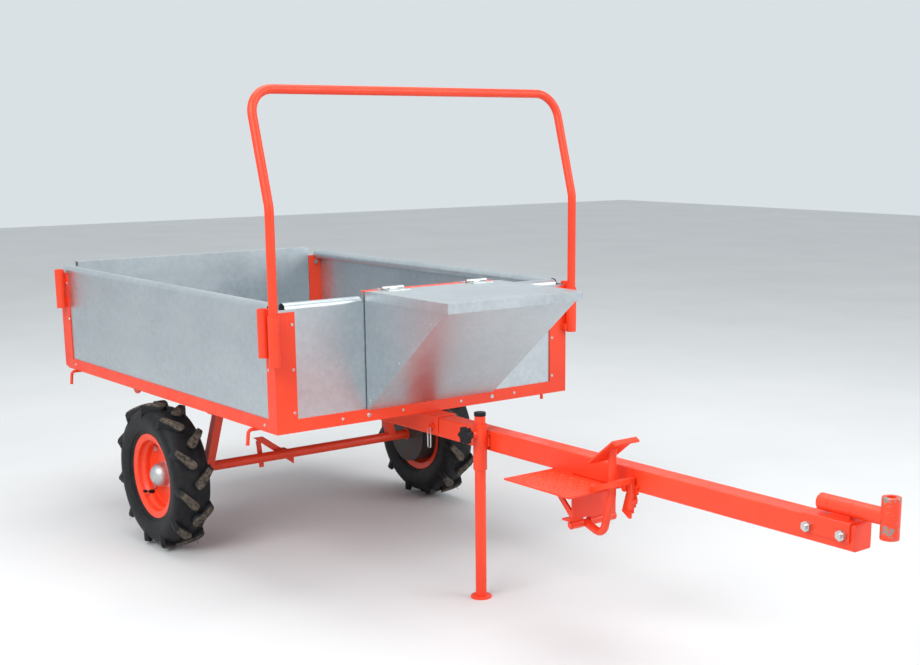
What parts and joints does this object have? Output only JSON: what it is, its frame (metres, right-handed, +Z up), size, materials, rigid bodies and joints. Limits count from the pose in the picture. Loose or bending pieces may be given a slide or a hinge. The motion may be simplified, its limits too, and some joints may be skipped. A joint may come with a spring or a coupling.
{
  "type": "tow behind cart",
  "caption": "Two-wheel tipping cart with galvanised box, drop tailgate, front toolbox, handrail, braked drawbar with footrest, jockey stand and swivel hitch.",
  "frame": {"origin": "on the ground under the middle of the whole length, on the cart's middle plane", "axes": "+X towards the hitch, +Y to the cart's left, +Z up"},
  "size_m": [2.7254, 0.9972, 1.239],
  "materials": {
    "red_paint": "satin red-orange enamel over steel",
    "worn_red_paint": "red-orange enamel, chipped to bare steel",
    "galvanised_sheet": "hot-dip galvanised sheet with faint spangle",
    "zinc_plated": "bright zinc plate",
    "machined_steel": "plain machined steel",
    "cast_drum": "dark cast iron",
    "tyre_rubber": "dusty black rubber",
    "black_plastic": "black moulded plastic"
  },
  "bodies": {
    "chassis": {"drawbar": "red_paint", "axle_frame": "red_paint", "tip_pivot_tube": "red_paint", "wheel_spindles": "machined_steel", "drum_brakes": "cast_drum", "stand_sleeve": "red_paint", "footplate": "red_paint", "pedal_bracket": "red_paint", "pedal_guide": "red_paint", "hitch_saddle": "red_paint", "hitch_bolts": "zinc_plated", "swivel_sleeve": "red_paint"},
    "hitch_swivel": {"swivel_shaft": "red_paint", "swivel_collar": "red_paint", "hitch_bush": "worn_red_paint"},
    "jockey_stand": {"stand_leg": "red_paint", "stand_cap": "black_plastic"},
    "stand_clamp": {"clamp_knob": "black_plastic"},
    "brake_pedal": {"pedal_arm": "red_paint", "pedal_pad": "red_paint"},
    "brake_equaliser": {"brake_lever": "red_paint"},
    "box_lock": {"lock_pin": "red_paint", "lock_clip": "zinc_plated"},
    "wheel_left": {"tyre_left": "tyre_rubber", "rim_left": "red_paint", "hub_left": "cast_drum", "wheel_bearings_left": "machined_steel", "hub_cap_left": "zinc_plated", "wheel_bolts_left": "zinc_plated"},
    "wheel_right": {"tyre_right": "tyre_rubber", "rim_right": "red_paint", "hub_right": "cast_drum", "wheel_bearings_right": "machined_steel", "hub_cap_right": "zinc_plated", "wheel_bolts_right": "zinc_plated"},
    "load_box": {"bottom_rails": "red_paint", "corner_posts": "red_paint", "floor_bearers": "red_paint", "tip_pivot_rod": "machined_steel", "lock_saddle": "red_paint", "floor_panel": "galvanised_sheet", "side_panels": "galvanised_sheet", "front_panel": "galvanised_sheet", "hoop_sockets": "red_paint", "stake_sockets": "red_paint", "rope_hooks": "red_paint", "toolbox_body": "galvanised_sheet", "hinge_rail": "red_paint", "hinge_leaves": "zinc_plated", "rivets": "zinc_plated", "tailgate_hinges": "red_paint", "tailgate_studs": "zinc_plated"},
    "tailgate": {"tailgate_panel": "galvanised_sheet", "tailgate_stiles": "red_paint"},
    "gate_nut_left": {"gate_nut_left": "zinc_plated"},
    "gate_nut_right": {"gate_nut_right": "zinc_plated"},
    "lid": {"toolbox_lid": "galvanised_sheet", "lid_leaves": "zinc_plated"},
    "handrail": {"handrail_hoop": "red_paint"}
  },
  "joints": [
    {"name": "left_wheel_spin", "type": "hinge", "parent": "chassis", "child": "wheel_left", "pos_m": [-0.71735, 0.4455, 0.204], "axis": [0, 1, 0], "continuous": true},
    {"name": "right_wheel_spin", "type": "hinge", "parent": "chassis", "child": "wheel_right", "pos_m": [-0.71735, -0.4455, 0.204], "axis": [0, 1, 0], "continuous": true},
    {"name": "hitch_roll", "type": "hinge", "parent": "chassis", "child": "hitch_swivel", "pos_m": [1.27765, 0, 0.446], "axis": [1, 0, 0], "continuous": true},
    {"name": "box_tip", "type": "hinge", "parent": "chassis", "child": "load_box", "pos_m": [-1.00735, 0, 0.404], "axis": [0, -1, 0], "range_deg": [0, 55]},
    {"name": "box_lock_pull", "type": "slide", "parent": "chassis", "child": "box_lock", "axis": [0, -1, 0], "range_m": [0, 0.08]},
    {"name": "tailgate_drop", "type": "hinge", "parent": "load_box", "child": "tailgate", "pos_m": [-1.34135, 0, 0.437], "axis": [0, -1, 0], "range_deg": [0, 160]},
    {"name": "left_gate_nut_turn", "type": "hinge", "parent": "tailgate", "child": "gate_nut_left", "pos_m": [-1.35665, 0.431, 0.696], "axis": [1, 0, 0], "range_deg": [0, 360]},
    {"name": "right_gate_nut_turn", "type": "hinge", "parent": "tailgate", "child": "gate_nut_right", "pos_m": [-1.35665, -0.431, 0.696], "axis": [1, 0, 0], "range_deg": [0, 360]},
    {"name": "lid_open", "type": "hinge", "parent": "load_box", "child": "lid", "pos_m": [-0.04385, 0, 0.7565], "axis": [0, -1, 0], "range_deg": [0, 165]},
    {"name": "handrail_lift", "type": "slide", "parent": "load_box", "child": "handrail", "axis": [0, 0, 1], "range_m": [0, 0.11]},
    {"name": "stand_height", "type": "slide", "parent": "chassis", "child": "jockey_stand", "axis": [0, 0, 1], "range_m": [0, 0.175]},
    {"name": "clamp_turn", "type": "hinge", "parent": "chassis", "child": "stand_clamp", "pos_m": [0.19365, -0.09, 0.417], "axis": [0, 1, 0], "range_deg": [0, 360]},
    {"name": "pedal_press", "type": "hinge", "parent": "chassis", "child": "brake_pedal", "pos_m": [0.59265, -0.062, 0.285], "axis": [0, 1, 0], "range_deg": [0, 7], "stiffness_Nm_per_rad": 8, "springref_deg": -17.19},
    {"name": "brake_lever_rock", "type": "hinge", "parent": "chassis", "child": "brake_equaliser", "pos_m": [-0.73435, -0.06, 0.204], "axis": [1, 0, 0], "range_deg": [-1, 13]}
  ],
  "couplings": [
    {"joint": "brake_lever_rock", "follows": "pedal_press", "ratio": 1.5}
  ]
}
